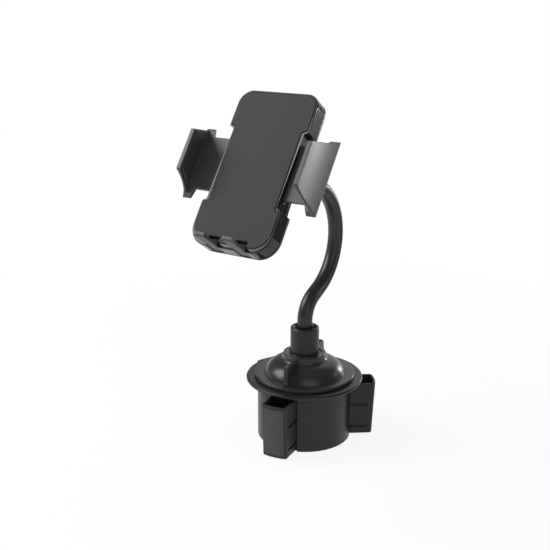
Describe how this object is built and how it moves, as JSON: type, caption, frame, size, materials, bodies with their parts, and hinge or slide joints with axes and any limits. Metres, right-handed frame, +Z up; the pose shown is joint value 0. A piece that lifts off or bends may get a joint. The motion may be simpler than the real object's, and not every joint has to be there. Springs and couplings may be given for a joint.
{
  "type": "cup holder phone mount",
  "caption": "Phone mount for a car's cup holder: a round base whose fins expand by a knob, a bent gooseneck and a cradle with sliding jaws and bottom hooks on a ball joint.",
  "frame": {"origin": "on the base's axis, at its underside", "axes": "+Z up along the base's axis, the phone faces -Y, +X to the right seen from the front"},
  "size_m": [0.0966, 0.1474, 0.244],
  "materials": {
    "body_plastic": "satin moulded plastic, dark grey",
    "knob_plastic": "semi-gloss moulded plastic, black",
    "inner_plastic": "plain moulded plastic",
    "fin_plastic": "fine-grained plastic, dark grey",
    "fin_rubber": "matt rubber facing",
    "steel": "plain zinc-plated steel",
    "core_metal": "plain",
    "ferrule_plastic": "satin, dark grey",
    "sleeve_rubber": "smooth black sleeve",
    "acetal": "natural white acetal",
    "cradle_plastic": "gloss black",
    "clamp_plastic": "satin black",
    "pad_rubber": "matt grey rubber"
  },
  "bodies": {
    "base": {"base_housing": "body_plastic", "base_cover": "body_plastic", "cover_screws": "steel", "centre_post": "core_metal", "neck_ferrule": "ferrule_plastic", "neck_sleeve": "sleeve_rubber", "neck_core_low": "core_metal"},
    "knob": {"knob": "knob_plastic", "scroll_disc": "inner_plastic", "scroll_screws": "steel"},
    "fin_front": {"fin_front": "fin_plastic", "fin_pad_front": "fin_rubber", "fin_pin_front": "steel"},
    "fin_right": {"fin_right": "fin_plastic", "fin_pad_right": "fin_rubber", "fin_pin_right": "steel"},
    "fin_left": {"fin_left": "fin_plastic", "fin_pad_left": "fin_rubber", "fin_pin_left": "steel"},
    "neck_mid": {"neck_core_mid": "core_metal"},
    "neck_top": {"neck_core_top": "core_metal", "neck_cap": "ferrule_plastic", "ball_stud": "steel"},
    "ball_pan": {"ball_liner": "acetal"},
    "ball_tilt": {"lock_nut": "clamp_plastic"},
    "cradle": {"cradle_front": "cradle_plastic", "cradle_back": "cradle_plastic", "back_screws": "steel", "phone_pad": "pad_rubber", "pinion_axle": "steel", "arm_spring": "steel", "button_spring": "steel"},
    "arm_right": {"arm_right": "clamp_plastic", "jaw_pad_right": "pad_rubber"},
    "arm_left": {"arm_left": "clamp_plastic", "jaw_pad_left": "pad_rubber"},
    "pinion": {"pinion": "acetal"},
    "button": {"release_button": "inner_plastic"},
    "foot": {"hook_foot": "clamp_plastic"}
  },
  "joints": [
    {"name": "knob_turn", "type": "hinge", "parent": "base", "child": "knob", "pos_m": [0, 0, 0.0443], "axis": [0, 0, 1], "range_deg": [0, 214.86]},
    {"name": "fin_front_slide", "type": "slide", "parent": "base", "child": "fin_front", "axis": [0.1305, -0.9914, 0], "range_m": [-0.01501, 0]},
    {"name": "fin_right_slide", "type": "slide", "parent": "base", "child": "fin_right", "axis": [0.7934, 0.6088, 0], "range_m": [-0.01501, 0]},
    {"name": "fin_left_slide", "type": "slide", "parent": "base", "child": "fin_left", "axis": [-0.9239, 0.3827, 0], "range_m": [-0.01501, 0]},
    {"name": "neck_bend_low", "type": "hinge", "parent": "base", "child": "neck_mid", "pos_m": [0, 0.0137, 0.10193], "axis": [1, 0, 0], "range_deg": [-20, 20], "deforming": ["neck_sleeve"]},
    {"name": "neck_bend_top", "type": "hinge", "parent": "neck_mid", "child": "neck_top", "pos_m": [0, 0.03735, 0.15332], "axis": [1, 0, 0], "range_deg": [-20, 20], "deforming": ["neck_sleeve"]},
    {"name": "cradle_pan", "type": "hinge", "parent": "neck_top", "child": "ball_pan", "pos_m": [0, -0.03543, 0.19313], "axis": [0, 0.309, 0.9511], "range_deg": [-12, 12]},
    {"name": "cradle_tilt", "type": "hinge", "parent": "ball_pan", "child": "ball_tilt", "pos_m": [0, -0.03543, 0.19313], "axis": [1, 0, 0], "range_deg": [-4, 37]},
    {"name": "cradle_roll", "type": "hinge", "parent": "ball_tilt", "child": "cradle", "pos_m": [0, -0.03543, 0.19313], "axis": [0, -0.8221, 0.5693], "continuous": true},
    {"name": "arm_right_slide", "type": "slide", "parent": "cradle", "child": "arm_right", "axis": [-1, 0, 0], "range_m": [0, 0.015]},
    {"name": "arm_left_slide", "type": "slide", "parent": "cradle", "child": "arm_left", "axis": [1, 0, 0], "range_m": [0, 0.01501]},
    {"name": "pinion_spin", "type": "hinge", "parent": "cradle", "child": "pinion", "pos_m": [0, -0.05974, 0.20194], "axis": [0, -0.8221, 0.5693], "range_deg": [-153.6, 0], "deforming": ["arm_spring"]},
    {"name": "button_press", "type": "slide", "parent": "cradle", "child": "button", "axis": [0, -0.8221, 0.5693], "range_m": [0, 0.0015], "stiffness_N_per_m": 400, "springref_m": -0.0005, "deforming": ["button_spring"]},
    {"name": "foot_slide", "type": "slide", "parent": "cradle", "child": "foot", "axis": [0, -0.5693, -0.8221], "range_m": [0, 0.0095]}
  ],
  "couplings": [
    {"joint": "fin_front_slide", "follows": "knob_turn", "m_per_rad": -0.004},
    {"joint": "fin_right_slide", "follows": "knob_turn", "m_per_rad": -0.004},
    {"joint": "fin_left_slide", "follows": "knob_turn", "m_per_rad": -0.004},
    {"joint": "arm_left_slide", "follows": "arm_right_slide", "ratio": 1},
    {"joint": "pinion_spin", "follows": "arm_right_slide", "rad_per_m": -178.57}
  ]
}
